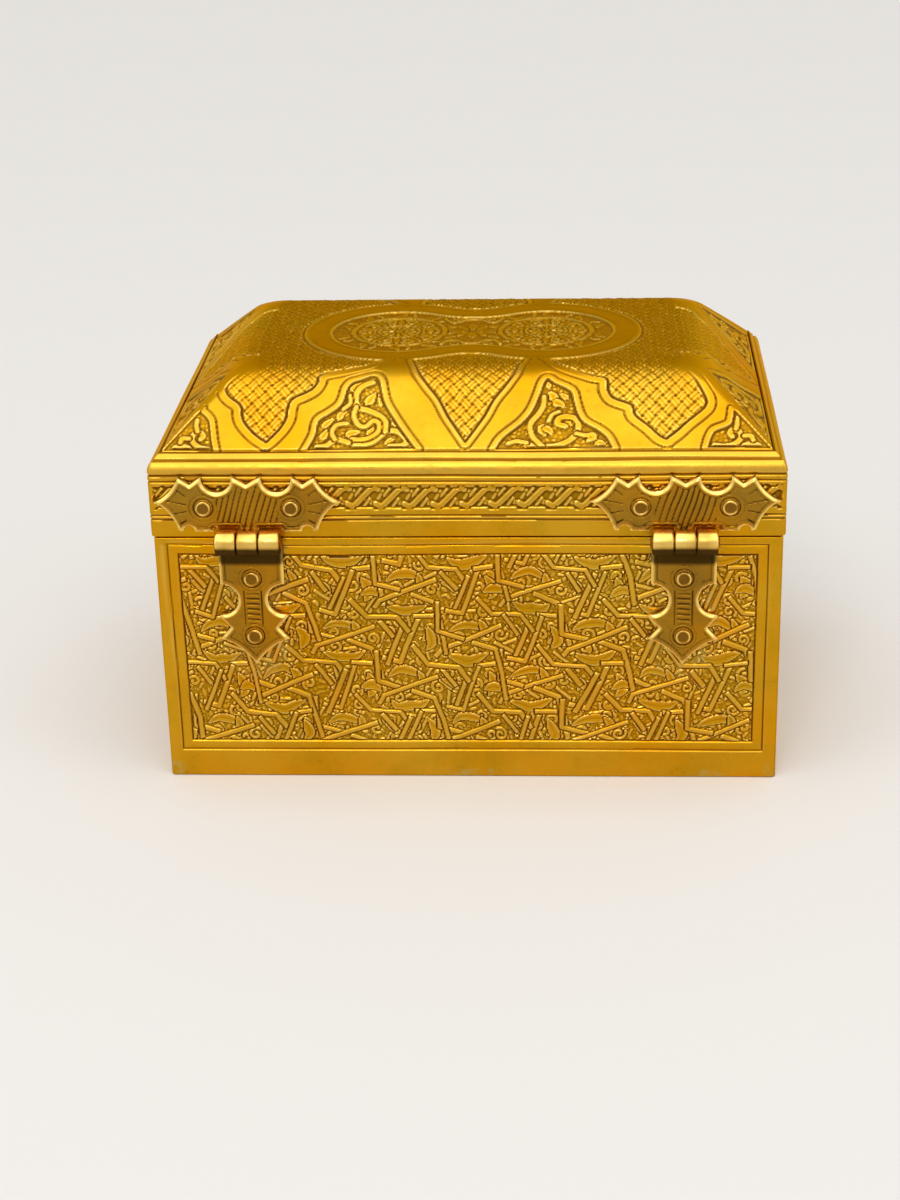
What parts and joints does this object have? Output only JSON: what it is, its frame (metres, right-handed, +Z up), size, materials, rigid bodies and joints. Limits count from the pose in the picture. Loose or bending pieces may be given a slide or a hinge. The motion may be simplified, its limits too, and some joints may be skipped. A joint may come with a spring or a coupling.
{
  "type": "hinged casket",
  "caption": "Small rectangular engraved brass casket with a hipped lid on strap hinges and a hasp and staple.",
  "frame": {"origin": "centre of the casket's flat underside", "axes": "+Z up, +X along the long side, the hinges on the -Y side and the hasp on the +Y side"},
  "size_m": [0.112, 0.091, 0.0737],
  "materials": {
    "engraved_brass": "engraved, with dark patina in the recesses",
    "plain_brass": "satin, scratched",
    "strap_brass": "worn, hatched",
    "rivet_brass": "hammered"
  },
  "bodies": {
    "casket": {"body_wall_rear": "engraved_brass", "body_wall_right": "engraved_brass", "body_wall_front": "engraved_brass", "body_wall_left": "engraved_brass", "base_plate": "plain_brass", "body_strap_left": "strap_brass", "body_strap_right": "strap_brass", "body_strap_rivet_left_upper": "rivet_brass", "body_strap_rivet_left_lower": "rivet_brass", "body_strap_rivet_right_upper": "rivet_brass", "body_strap_rivet_right_lower": "rivet_brass", "hinge_pin_left": "rivet_brass", "hinge_pin_right": "rivet_brass", "staple": "strap_brass"},
    "lid": {"lid_rim_rear": "engraved_brass", "lid_rim_right": "engraved_brass", "lid_rim_front": "engraved_brass", "lid_rim_left": "engraved_brass", "lid_crown": "engraved_brass", "lid_strap_left": "strap_brass", "lid_strap_right": "strap_brass", "lid_strap_rivet_left_left": "rivet_brass", "lid_strap_rivet_left_right": "rivet_brass", "lid_strap_rivet_right_left": "rivet_brass", "lid_strap_rivet_right_right": "rivet_brass", "hasp_plate": "strap_brass", "hasp_rivet_left": "rivet_brass", "hasp_rivet_right": "rivet_brass", "hasp_pin": "rivet_brass"},
    "hasp": {"hasp_tongue": "strap_brass"}
  },
  "joints": [
    {"name": "lid_hinge", "type": "hinge", "parent": "casket", "child": "lid", "pos_m": [0, -0.03995, 0.0474], "axis": [1, 0, 0], "range_deg": [0, 180]},
    {"name": "hasp_hinge", "type": "hinge", "parent": "lid", "child": "hasp", "pos_m": [0, 0.0394, 0.0526], "axis": [1, 0, 0], "range_deg": [-19, 150]}
  ]
}
